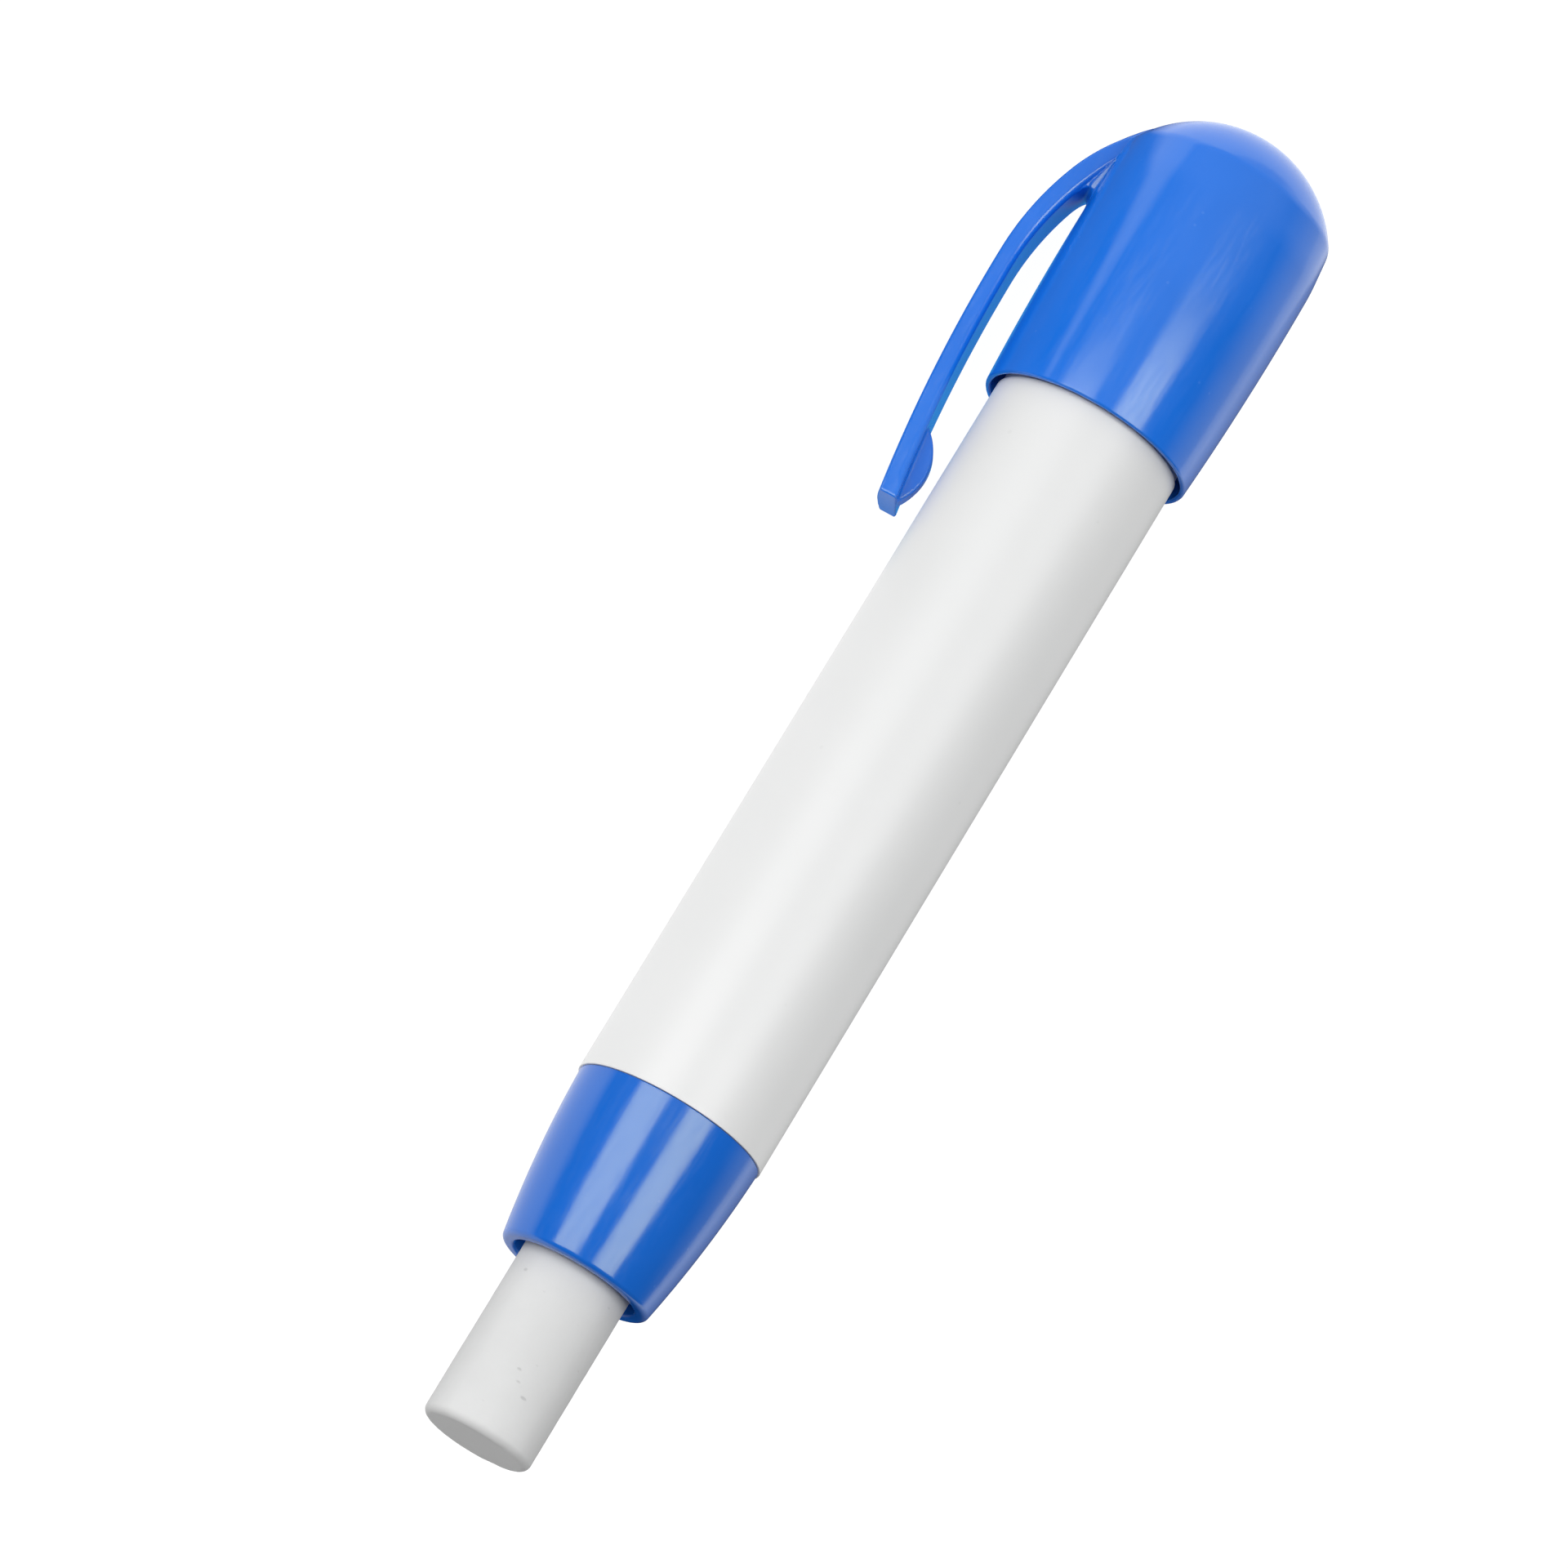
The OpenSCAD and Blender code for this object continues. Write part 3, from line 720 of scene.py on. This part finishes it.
def add_nose():
    """The blue nose cone with its spigot."""
    joint = BARREL_FRONT + JOINT_GAP
    land_end = NOSE_FRONT - NOSE_LAND
    corners = [(joint, NOSE_REAR_R, 0.06)]
    corners += [(x, nose_side(x), 0) for x in np.linspace(BARREL_FRONT + 0.1, NOSE_FRONT - 0.7, 26)]
    corners += [
        (NOSE_FRONT, nose_side(NOSE_FRONT), 0.42),
        (NOSE_FRONT, NOSE_BORE_R, 0.22),
        (land_end, NOSE_BORE_R, 0.1),
        (land_end, SPIGOT_BORE_R, 0.1),
        (SPIGOT_REAR, SPIGOT_BORE_R, 0.1),
        (SPIGOT_REAR, BARREL_BORE_R, 0.2),
        (joint, BARREL_BORE_R, 0),
    ]
    loop = dense(rounded(corners), 1.5)
    nose = new_piece("nose_shell", *lathe(loop), "barrel_body", "blue_shell", "nose_cone")
    crease(nose)
    nose.data.materials.append(NOSE_BLUE_SHADED)


def worn(x, y, z):
    """A point of the stick moved a little: uneven sides, and a worn front edge."""
    r = math.hypot(y, z)
    if r <= 1e-6:
        return x, y, z
    outside = r > 1.2
    edge = max(0.0, 1 - (STICK_FRONT - x) / WORN_LENGTH)
    wobble = noise.noise(Vector((x * 0.5, y * 0.5, z * 0.5))) * 0.012
    wear = noise.noise(Vector((x * 1.3 + 7, y * 1.3, z * 1.3))) * 0.035 * edge
    fine = noise.noise(Vector((x * 3.1, y * 3.1 + 5, z * 3.1))) * 0.008
    scale = (r + wobble + fine + min(0.0, wear)) / r if outside else 1.0
    y, z = y * scale, z * scale
    if outside or x > 0:
        x += min(0.0, noise.noise(Vector((y * 0.8, z * 0.8, 3.0))) * 0.05) * edge
    return x, y, z


def add_eraser():
    """The stick, with a hole in its rear end."""
    loop = dense(rounded([
        (STICK_REAR + HOLE_DEPTH, 0, 0),
        (STICK_REAR + HOLE_DEPTH, HOLE_R, 0.1),
        (STICK_REAR, HOLE_R, 0.1),
        (STICK_REAR, STICK_R, 0.3),
        (STICK_FRONT, STICK_R, 0.55),
        (STICK_FRONT, 0, 0),
    ], 9), 0.3)
    verts, faces = lathe(loop, 220)
    verts = [worn(*v) for v in verts]
    stick = new_piece("eraser", verts, faces, "stick_body", "vinyl", "eraser_stick")
    crease(stick)
    stick.data.materials.append(VINYL)


def paint(name, look):
    """A CAD node that is kept as it is, in its material."""
    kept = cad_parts[name]
    kept.data.materials.clear()
    kept.data.materials.append(look)


add_cap()
add_barrel()
add_nose()
add_eraser()
for name in ("spiral_sleeve", "guide_tube", "retaining_ring", "carrier"):
    paint(name, INNER)
paint("friction_ring", RUBBER)


# Floor, world and lights

def level(name, z):
    """A wide level sheet of the stage."""
    side = 3.0
    mesh = bpy.data.meshes.new(name)
    corners = [(-side, -side, z), (side, -side, z), (side, side, z), (-side, side, z)]
    mesh.from_pydata(corners, [], [(0, 1, 2, 3)])
    sheet = bpy.data.objects.new(name, mesh)
    bpy.context.scene.collection.objects.link(sheet)
    return sheet


def pale_floor():
    """An even white floor that takes a faint shadow."""
    made, tree, shader = material("pale_floor")
    cloud = noise_of(tree, place_of(tree), scale=6, detail=2)
    tint = blended(tree, cloud, (0.10, 0.10, 0.10), (0.12, 0.12, 0.12))
    tree.links.new(tint, shader.inputs["Base Color"])
    shader.inputs["Roughness"].default_value = 0.9
    shader.inputs["Specular IOR Level"].default_value = 0.1
    shader.inputs["Emission Color"].default_value = (1, 1, 1, 1)
    shader.inputs["Emission Strength"].default_value = 0.98
    return made


def painted_floor_reflection():
    """Painted reflection of the floor, seen only in the pen's gloss: dark near the pen as painted shadow,
    bright farther out, and a painted blue reflection beside the clip.
    """
    made, tree, shader = material("painted_floor_reflection")
    place = tree.nodes.new("ShaderNodeSeparateXYZ")
    tree.links.new(place_of(tree), place.inputs[0])
    x, y = place.outputs["X"], place.outputs["Y"]
    # Painted reflection: bright on the right farther out, on a strip to the left towards the nose, and
    # beyond the dome; elsewhere dark, as painted shadow near the pen.
    far = ranged(tree, y, 0.010, 0.060, 0, 1.25)
    left = band(tree, y, -0.040, -0.024, -0.006, 0.004)
    ahead = combined(tree, "MULTIPLY", left, ranged(tree, x, -0.024, -0.014, 0.1, 1.0))
    beyond = ranged(tree, x, -0.053, -0.058, 0, 1.25)
    painted_shine = combined(tree, "MAXIMUM", combined(tree, "MAXIMUM", far, ahead), beyond)
    # Painted blue reflection beside the clip, standing for floor lit blue by the cap.
    across_clip = band(tree, y, -0.0100, -0.0090, -0.0030, -0.0015)
    along_clip = band(tree, x, -0.050, -0.046, -0.018, -0.014)
    beside = combined(tree, "MULTIPLY", across_clip, along_clip)
    shader.inputs["Base Color"].default_value = (0, 0, 0, 1)
    shader.inputs["Specular IOR Level"].default_value = 0
    tree.links.new(blended(tree, beside, (1, 1, 1), (0.06, 0.36, 0.72)), shader.inputs["Emission Color"])
    tree.links.new(combined(tree, "MAXIMUM", painted_shine, beside), shader.inputs["Emission Strength"])
    return made


floor_z = cad_box[0][2]
floor = level("floor", floor_z)
floor.data.materials.append(pale_floor())
floor.visible_glossy = False

# A glowing sheet just under the floor that only the pen's gloss sees: painted reflection and painted
# shadow, not a lamp.
painted_reflection_sheet = level("painted_reflection_floor", floor_z - 0.5 * MM)
painted_reflection_sheet.data.materials.append(painted_floor_reflection())
painted_reflection_sheet.visible_camera = False
painted_reflection_sheet.visible_diffuse = False
painted_reflection_sheet.visible_shadow = False


def towards(turn_deg, tilt_deg):
    """Direction turned about the pen's axis from the camera's side, and tilted towards the eraser."""
    t, e = math.radians(turn_deg), math.radians(tilt_deg)
    return ROLLED @ (ACROSS * math.sin(t) * math.cos(e) + FACING * math.cos(t) * math.cos(e)
                     - TOWARDS_CAP * math.sin(e))


def glow(tree, direction, turn_deg, tilt_deg, low, high, strength):
    """A lit part of the room, brighter from the cosine low to the cosine high off its middle."""
    near = tree.nodes.new("ShaderNodeVectorMath")
    near.operation = "DOT_PRODUCT"
    near.inputs[1].default_value = towards(turn_deg, tilt_deg)
    tree.links.new(direction, near.inputs[0])
    return ranged(tree, near.outputs["Value"], low, high, 0, strength)


def light_room():
    """A dim world with a lit wall on each side and a lit ceiling beyond the cap."""
    world = bpy.data.worlds.new("studio")
    bpy.context.scene.world = world
    world.use_nodes = True
    tree = world.node_tree
    sky = tree.nodes["Background"]
    direction = tree.nodes.new("ShaderNodeTexCoord").outputs["Generated"]
    right_wall = glow(tree, direction, 110, -35, 0.80, 1.0, strength=0.9)
    left_wall = glow(tree, direction, -75, -25, 0.80, 1.0, strength=0.12)
    ceiling = glow(tree, direction, 0, -60, 0.45, 0.78, strength=0.6)
    room = combined(tree, "ADD", combined(tree, "ADD", right_wall, left_wall), ceiling)
    tree.links.new(combined(tree, "ADD", room, 0.07), sky.inputs["Strength"])
    sky.inputs["Color"].default_value = (0.99, 1.0, 1.0, 1)


def soft_box(name, turn_deg, tilt_deg, distance, width, length, power):
    """A soft light facing the pen."""
    toward = towards(turn_deg, tilt_deg)
    data = bpy.data.lights.new(name, "AREA")
    data.shape = "RECTANGLE"
    data.size = length
    data.size_y = width
    data.energy = power
    light = bpy.data.objects.new(name, data)
    bpy.context.scene.collection.objects.link(light)
    along = (Vector((1, 0, 0)) - toward * toward.x).normalized()
    beside = toward.cross(along)
    turned = Matrix((along, beside, toward)).transposed().to_4x4()
    light.matrix_world = Matrix.Translation(toward * distance) @ turned


light_room()
soft_box("box_left", turn_deg=-31.5, tilt_deg=0.7, distance=1.0, width=0.66, length=0.541, power=4.7)
soft_box("box_right", turn_deg=27, tilt_deg=-1.0, distance=1.0, width=0.57, length=0.61, power=4.9)

view = bpy.context.scene.view_settings
view.view_transform = "Standard"
view.look = "None"
